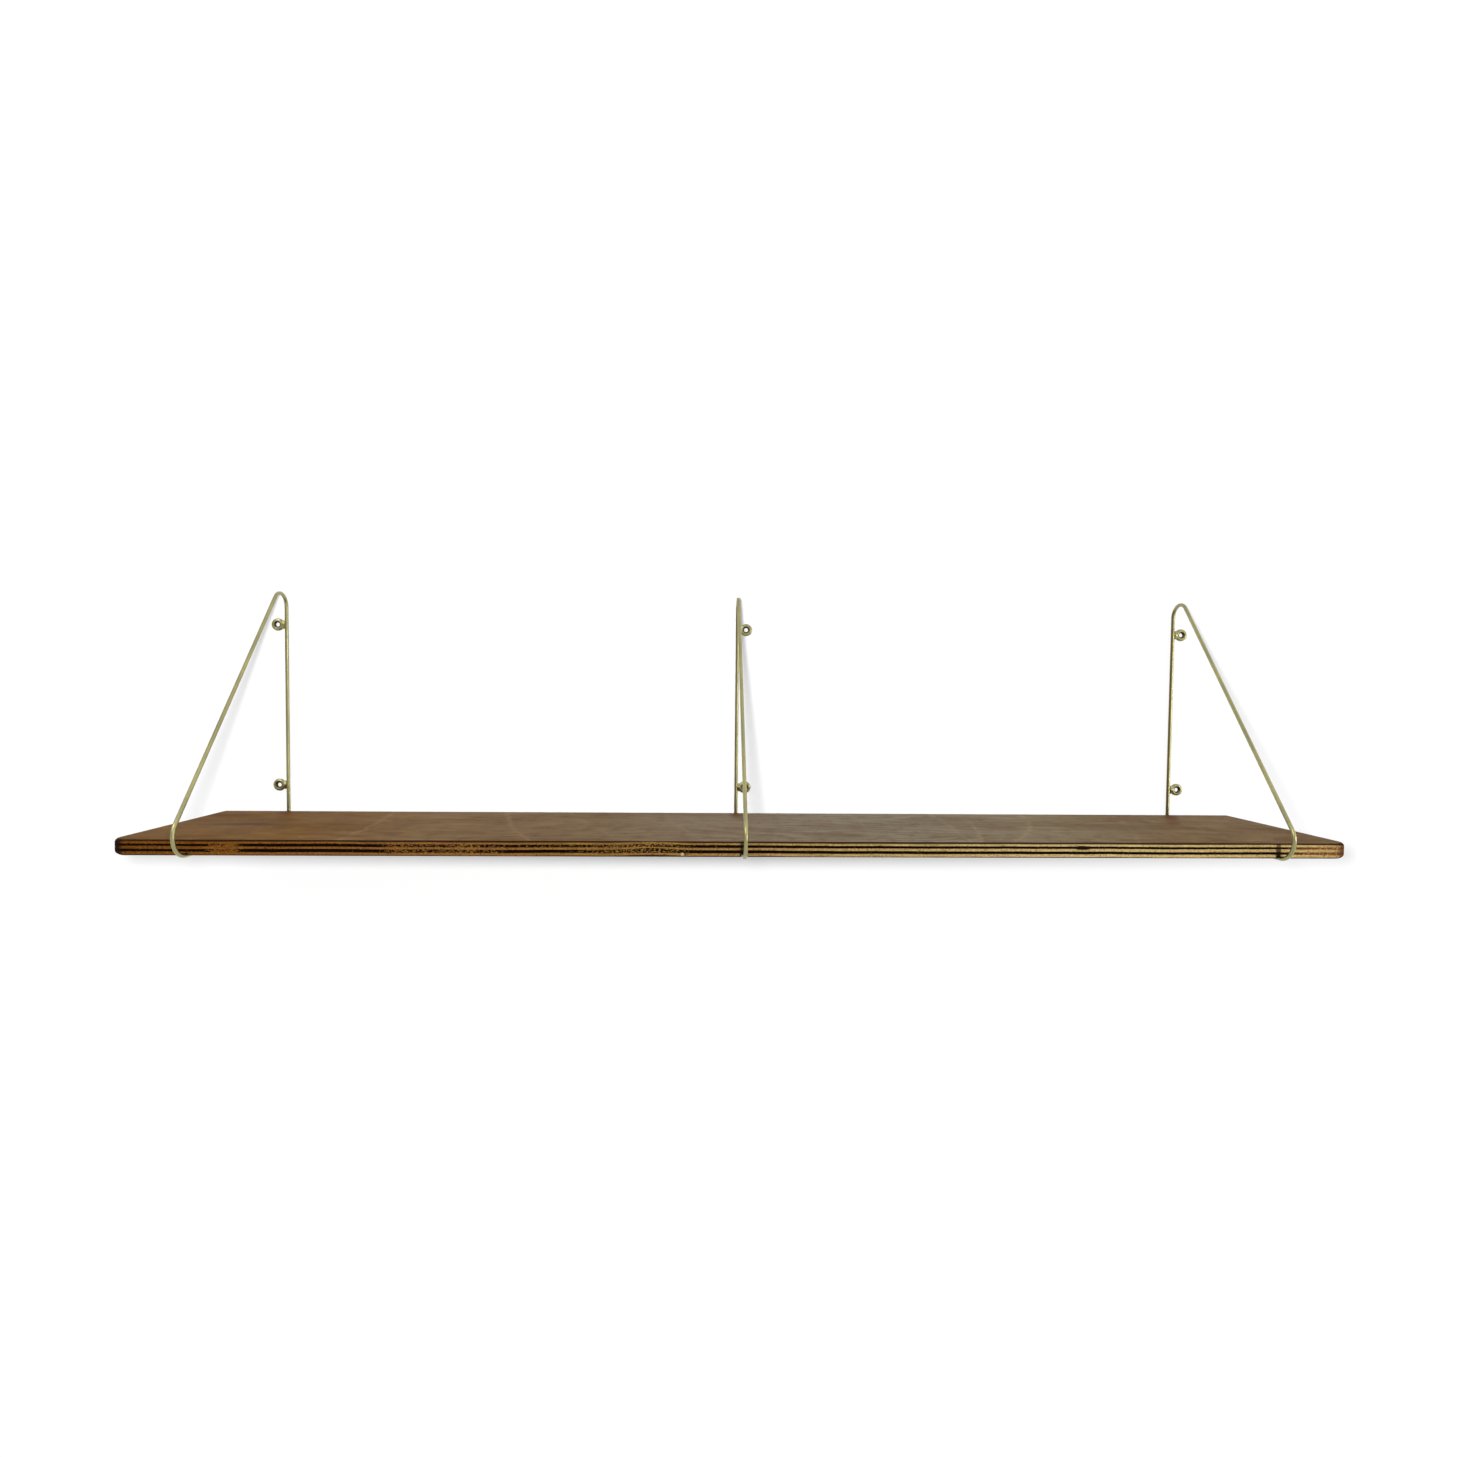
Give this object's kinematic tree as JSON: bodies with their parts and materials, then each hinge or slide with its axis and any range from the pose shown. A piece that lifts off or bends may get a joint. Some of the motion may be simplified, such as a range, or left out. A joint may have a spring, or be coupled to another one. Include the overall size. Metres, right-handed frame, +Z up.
{
  "type": "wall shelf with rod brackets",
  "caption": "Long plywood wall shelf lying in closed triangular brackets of bent brass rod, which are screwed to the wall through welded eyelets.",
  "frame": {"origin": "on the wall's surface, in line with the middle bracket, at the level of the board's top face", "axes": "+X to the right along the board, +Y into the wall, +Z up"},
  "size_m": [1.2, 0.231, 0.272],
  "materials": {
    "brass": "satin, slightly aged",
    "stained_veneer": "stained and oiled veneer",
    "long_grain_ply": "oiled plywood edge",
    "cross_grain_ply": "oiled plywood edge, end grain"
  },
  "bodies": {
    "brackets": {"left_bracket_rod": "brass", "middle_bracket_rod": "brass", "right_bracket_rod": "brass", "left_lower_eyelet": "brass", "left_upper_eyelet": "brass", "middle_lower_eyelet": "brass", "middle_upper_eyelet": "brass", "right_lower_eyelet": "brass", "right_upper_eyelet": "brass"},
    "board": {"top_face_veneer": "stained_veneer", "bottom_face_veneer_left_end": "stained_veneer", "bottom_face_veneer_left": "stained_veneer", "bottom_face_veneer_right": "stained_veneer", "bottom_face_veneer_right_end": "stained_veneer", "upper_long_ply": "long_grain_ply", "middle_long_ply": "long_grain_ply", "lower_long_ply": "long_grain_ply", "upper_cross_ply": "cross_grain_ply", "lower_cross_ply": "cross_grain_ply"}
  },
  "joints": [
    {"name": "board_lift", "type": "slide", "parent": "brackets", "child": "board", "axis": [0, 0, 1], "range_m": [0, 0.03]}
  ]
}
